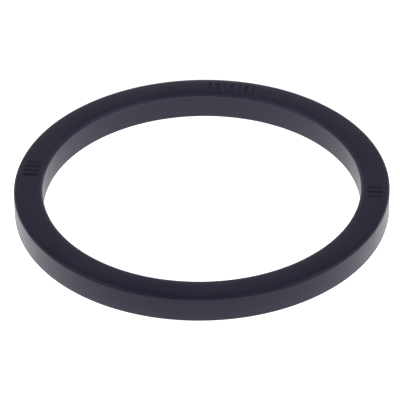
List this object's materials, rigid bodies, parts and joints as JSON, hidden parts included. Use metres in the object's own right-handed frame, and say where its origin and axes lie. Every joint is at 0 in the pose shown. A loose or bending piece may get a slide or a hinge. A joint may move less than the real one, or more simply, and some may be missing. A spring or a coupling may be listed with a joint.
{
  "type": "group head gasket",
  "caption": "Flat moulded rubber ring of square-edged section that seals a coffee machine's filter holder against its group head.",
  "frame": {"origin": "centre of the ring on its lower face", "axes": "+Z along the ring's axis, up from the surface that it lies on; +Y away from the viewer of the picture"},
  "size_m": [0.071, 0.071, 0.0054],
  "materials": {
    "black_rubber": "satin moulded"
  },
  "bodies": {
    "root": {"gasket_ring": "black_rubber"}
  },
  "joints": []
}
